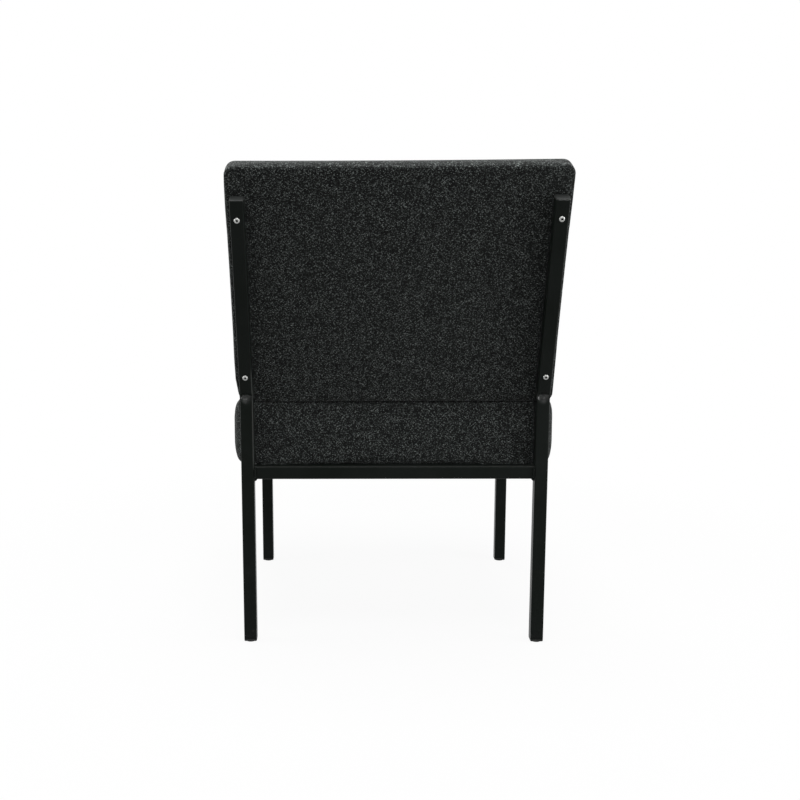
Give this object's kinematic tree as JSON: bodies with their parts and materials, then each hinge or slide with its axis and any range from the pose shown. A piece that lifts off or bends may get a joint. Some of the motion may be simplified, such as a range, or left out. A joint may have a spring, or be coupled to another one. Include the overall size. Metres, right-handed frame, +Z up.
{
  "type": "reception chair",
  "caption": "Armless visitor chair: square steel tube frame with raked back uprights, a thick fabric seat pad and a fabric back pad.",
  "frame": {"origin": "on the floor, under the middle of the whole chair's box", "axes": "+Z up, +X to the sitter's left, -Y towards the front, where the sitter faces"},
  "size_m": [0.552, 0.6166, 0.8193],
  "materials": {
    "frame_paint": "satin",
    "black_plastic": "matte",
    "plywood": "matte",
    "foam": "matte",
    "charcoal_weave": "matte",
    "dust_cloth": "matte",
    "zinc": "satin"
  },
  "bodies": {
    "root": {"rear_leg_left": "frame_paint", "rear_leg_right": "frame_paint", "front_leg_left": "frame_paint", "front_leg_right": "frame_paint", "side_rail_left": "frame_paint", "side_rail_right": "frame_paint", "front_rail": "frame_paint", "rear_rail": "frame_paint", "weld_beads": "frame_paint", "upright_cap_left": "black_plastic", "upright_cap_right": "black_plastic", "rear_foot_left": "black_plastic", "rear_foot_right": "black_plastic", "front_foot_left": "black_plastic", "front_foot_right": "black_plastic", "seat_board": "plywood", "seat_foam": "foam", "seat_cover": "charcoal_weave", "seat_dust_cover": "dust_cloth", "seat_tee_nuts": "zinc", "seat_screws": "zinc", "back_board": "plywood", "back_foam": "foam", "back_cover": "charcoal_weave", "back_tee_nuts": "zinc", "back_screws": "zinc"}
  },
  "joints": []
}
